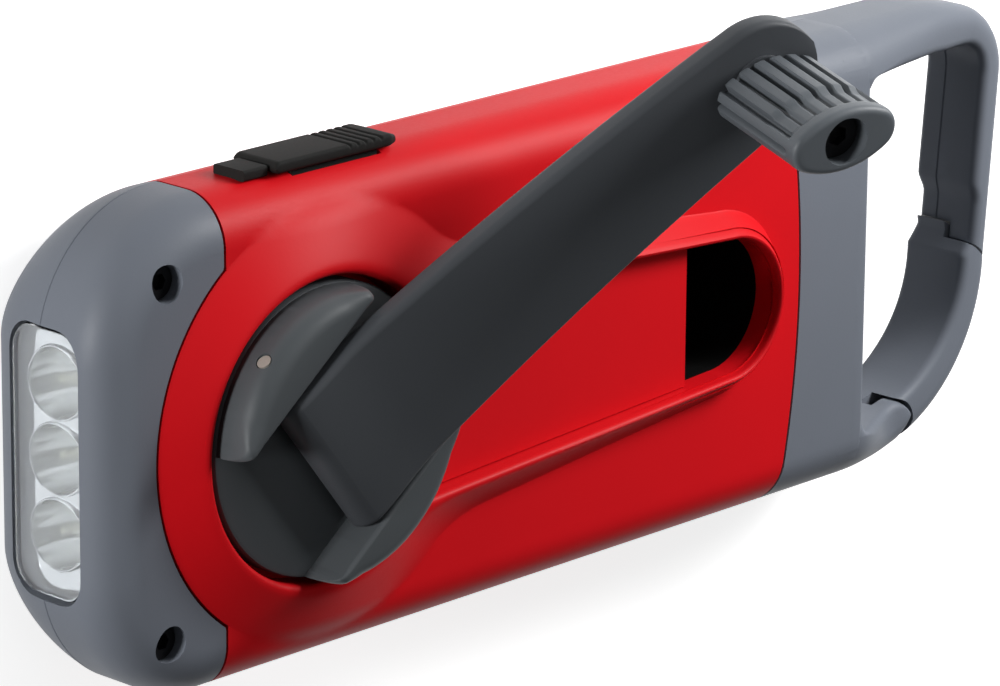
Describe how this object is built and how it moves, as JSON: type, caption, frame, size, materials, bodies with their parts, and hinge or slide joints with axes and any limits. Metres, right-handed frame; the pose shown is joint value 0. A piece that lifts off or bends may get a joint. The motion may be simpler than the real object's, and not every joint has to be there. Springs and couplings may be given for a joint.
{
  "type": "hand crank flashlight",
  "caption": "Pocket flashlight with a folding hand crank, lamp window in a grey head, red body and a sprung carabiner tail.",
  "frame": {"origin": "foot of the crank axis on the flat back that the flashlight lies on", "axes": "+X towards the carabiner, +Y towards the narrow side with the port cover, +Z out of the crank side"},
  "size_m": [0.1425, 0.066, 0.0585],
  "materials": {
    "red_plastic": "satin moulded plastic",
    "grey_plastic": "fine grained plastic",
    "dark_plastic": "fine grained plastic",
    "knob_plastic": "grained plastic",
    "black_rubber": "matt rubber",
    "clear_plastic": "clear polycarbonate",
    "metallised_plastic": "bright metallised",
    "led_epoxy": "pale clear epoxy",
    "circuit_board": "solder mask",
    "black_screw": "black oxide",
    "steel": "drawn steel",
    "bronze_bush": "sintered bronze",
    "gear_nylon": "moulded nylon",
    "ferrite": "ferrite magnet",
    "stator_steel": "pressed steel",
    "copper_wire": "enamelled copper",
    "battery_sleeve": "plastic sleeve on a steel cell",
    "wire_insulation": "soft insulation"
  },
  "bodies": {
    "body": {"front_shell": "red_plastic", "rear_shell": "red_plastic", "head_cover_front": "grey_plastic", "head_cover_rear": "grey_plastic", "tail_front": "grey_plastic", "tail_rear": "grey_plastic", "gate_pin": "steel", "gate_spring": "steel", "port_cover_tether": "black_rubber", "lens": "clear_plastic", "reflector": "metallised_plastic", "leds": "led_epoxy", "led_board": "circuit_board", "head_screws": "black_screw", "case_screws": "black_screw", "tail_screws": "black_screw", "power_switch": "dark_plastic", "switch_board": "circuit_board", "main_board": "circuit_board", "board_screws": "steel", "usb_socket": "steel", "battery_cells": "battery_sleeve", "battery_tabs": "steel", "crank_bush": "bronze_bush", "gear_pins": "steel", "stator_core": "stator_steel", "stator_coil": "copper_wire", "inner_wires": "wire_insulation"},
    "crank": {"crank_drum": "dark_plastic", "arm_hinge_pin": "steel", "drive_gear": "gear_nylon", "drive_screw": "steel"},
    "arm": {"crank_arm": "dark_plastic", "knob_screw": "black_screw", "knob_washer": "steel"},
    "knob": {"knob": "knob_plastic"},
    "gate": {"carabiner_gate": "grey_plastic"},
    "port_flap": {"port_cover": "black_rubber"},
    "button": {"power_button": "dark_plastic"},
    "first_gear": {"first_gear": "gear_nylon"},
    "second_gear": {"second_gear": "gear_nylon"},
    "rotor": {"rotor_hub": "gear_nylon", "rotor_magnet": "ferrite"}
  },
  "joints": [
    {"name": "crank_turn", "type": "hinge", "parent": "body", "child": "crank", "pos_m": [0, 0, 0], "axis": [0, 0, 1], "continuous": true},
    {"name": "arm_fold", "type": "hinge", "parent": "crank", "child": "arm", "pos_m": [-0.00197, -0.00154, 0.024], "axis": [0.617, -0.7869, 0], "range_deg": [0, 162.6]},
    {"name": "knob_spin", "type": "hinge", "parent": "arm", "child": "knob", "pos_m": [0.04148, 0.03253, 0.04109], "axis": [-0.2327, -0.1825, 0.9553], "continuous": true},
    {"name": "gate_swing", "type": "hinge", "parent": "body", "child": "gate", "pos_m": [0.09649, -0.02248, 0.0109], "axis": [0, 0, 1], "range_deg": [0, 38], "stiffness_Nm_per_rad": 0.03, "springref_deg": -17.19, "deforming": ["gate_spring"]},
    {"name": "port_cover_flip", "type": "hinge", "parent": "body", "child": "port_flap", "pos_m": [-0.0016, 0.02655, 0.0136], "axis": [0, 0, 1], "range_deg": [0, 110]},
    {"name": "power_button_press", "type": "slide", "parent": "body", "child": "button", "axis": [0, 1, 0], "range_m": [0, 0.0008], "stiffness_N_per_m": 400, "springref_m": -0.001},
    {"name": "first_gear_spin", "type": "hinge", "parent": "body", "child": "first_gear", "pos_m": [0.00926, -0.01103, 0], "axis": [0, 0, 1], "continuous": true},
    {"name": "second_gear_spin", "type": "hinge", "parent": "body", "child": "second_gear", "pos_m": [0.01989, -0.00272, 0], "axis": [0, 0, 1], "continuous": true},
    {"name": "rotor_spin", "type": "hinge", "parent": "body", "child": "rotor", "pos_m": [0.03173, -0.00703, 0], "axis": [0, 0, 1], "continuous": true}
  ],
  "couplings": [
    {"joint": "first_gear_spin", "follows": "crank_turn", "ratio": -3},
    {"joint": "second_gear_spin", "follows": "crank_turn", "ratio": 8.25},
    {"joint": "rotor_spin", "follows": "crank_turn", "ratio": -20.625}
  ]
}
